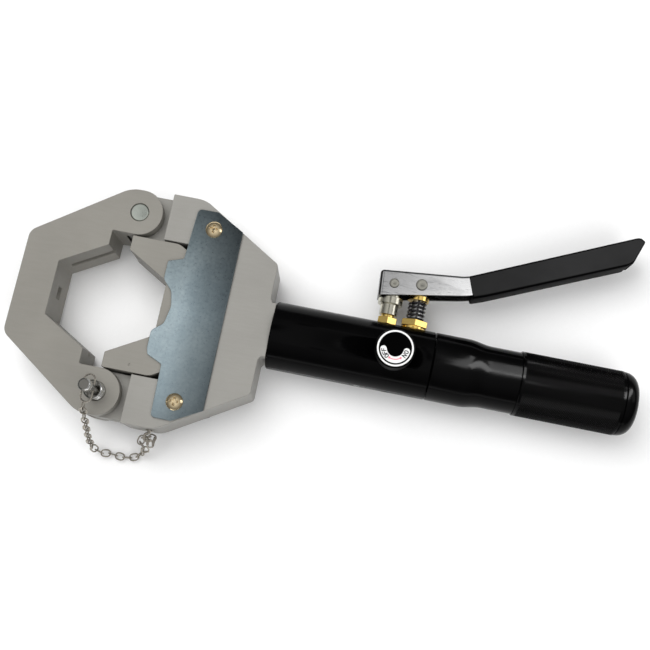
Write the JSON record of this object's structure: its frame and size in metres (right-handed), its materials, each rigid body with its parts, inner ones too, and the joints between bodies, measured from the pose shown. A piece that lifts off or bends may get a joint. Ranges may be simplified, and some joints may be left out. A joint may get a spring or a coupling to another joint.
{
  "type": "hydraulic hose crimping tool",
  "caption": "Hand-pumped hydraulic crimping tool: hinged C-jaw closed by a lock pin on a chain, ram-driven die shoe, pump lever, release knob and knurled reservoir handle.",
  "frame": {"origin": "centre of the closed six-sided die space, at mid-thickness of the head, on the ram axis", "axes": "+X along the tool to the handle end, +Y toward the pump lever, +Z along the crimping axis, out of the front face; the tool lies on its back"},
  "size_m": [0.4681, 0.2413, 0.0836],
  "materials": {
    "head_alloy": "bead-blasted matt silver grey",
    "zinc_plate": "blue zinc plated steel with mottled patches",
    "gold_screw": "yellow zinc, bright",
    "pin_steel": "turned and zinc plated",
    "chrome_pin": "polished",
    "black_body": "satin black anodised",
    "black_knurl": "satin black anodised, diamond knurl",
    "brass_fitting": "turned brass",
    "nickel": "nickel plated",
    "lever_chrome": "bright chrome with light scratches",
    "grip_vinyl": "black vinyl with a soft sheen",
    "black_spring": "black oiled spring steel",
    "seal_rubber": "matt black",
    "bladder_rubber": "matt black",
    "steel": "ground",
    "bronze": "turned bronze",
    "chain_steel": "nickel plated wire",
    "black_plastic": "moulded black",
    "label": "printed disc, white ring and arc"
  },
  "bodies": {
    "frame": {"head_frame": "head_alloy", "hinge_pin": "pin_steel", "guard_plate_front": "zinc_plate", "guard_plate_back": "zinc_plate", "guard_screws": "gold_screw", "rod_bush": "bronze", "rod_wiper": "seal_rubber", "cylinder_barrel": "black_body", "barrel_seal": "seal_rubber", "reservoir_tube": "black_body", "tube_seal": "seal_rubber", "knurled_grip": "black_knurl", "end_cap": "black_body", "cap_seal": "seal_rubber", "filler_plug": "steel", "oil_bladder": "bladder_rubber", "bladder_clip": "steel", "suction_tube": "brass_fitting", "check_balls": "steel", "check_springs": "steel", "valve_plugs": "steel", "relief_screw": "steel", "drain_plug": "steel", "fulcrum_union": "brass_fitting", "fulcrum_post": "nickel", "gland_nut": "brass_fitting", "gland_seal": "seal_rubber", "valve_bush": "black_body", "chain_hook": "chain_steel"},
    "ram": {"die_shoe": "head_alloy", "ram_rod": "steel", "shoe_pin": "steel", "ram_piston": "steel", "piston_seal": "seal_rubber", "piston_nut": "steel", "return_spring": "black_spring"},
    "jaw": {"jaw": "head_alloy", "pin_chain": "chain_steel"},
    "lock_pin": {"lock_pin": "chrome_pin", "pin_ring": "chain_steel"},
    "lever": {"lever_channel": "lever_chrome", "lever_grip": "grip_vinyl", "fulcrum_rivet": "chrome_pin", "plunger_rivet": "chrome_pin"},
    "plunger": {"plunger": "steel", "plunger_cap": "brass_fitting", "plunger_spring": "black_spring"},
    "release_knob": {"release_knob": "black_plastic", "knob_label": "label", "release_spindle": "steel", "knob_screw": "steel"}
  },
  "joints": [
    {"name": "ram_slide", "type": "slide", "parent": "frame", "child": "ram", "axis": [-1, 0, 0], "range_m": [0, 0.012], "stiffness_N_per_m": 1500, "springref_m": -0.004, "deforming": ["return_spring"]},
    {"name": "jaw_hinge", "type": "hinge", "parent": "frame", "child": "jaw", "pos_m": [0.0147, 0.0692, 0], "axis": [0, 0, -1], "range_deg": [0, 100]},
    {"name": "lock_pin_slide", "type": "slide", "parent": "jaw", "child": "lock_pin", "axis": [0, 0, 1], "range_m": [-0.0195, 0.0115]},
    {"name": "lever_hinge", "type": "hinge", "parent": "frame", "child": "lever", "pos_m": [0.2134, 0.0553, 0], "axis": [0, 0, -1], "range_deg": [0, 16.5], "stiffness_Nm_per_rad": 1, "springref_deg": -17.19},
    {"name": "plunger_slide", "type": "slide", "parent": "frame", "child": "plunger", "axis": [0, -1, 0], "range_m": [0, 0.006], "deforming": ["plunger_spring"]},
    {"name": "knob_turn", "type": "hinge", "parent": "frame", "child": "release_knob", "pos_m": [0.2219, 0, 0], "axis": [0, 0, 1], "range_deg": [0, 180]}
  ],
  "couplings": [
    {"joint": "plunger_slide", "follows": "lever_hinge", "m_per_rad": 0.0207}
  ]
}
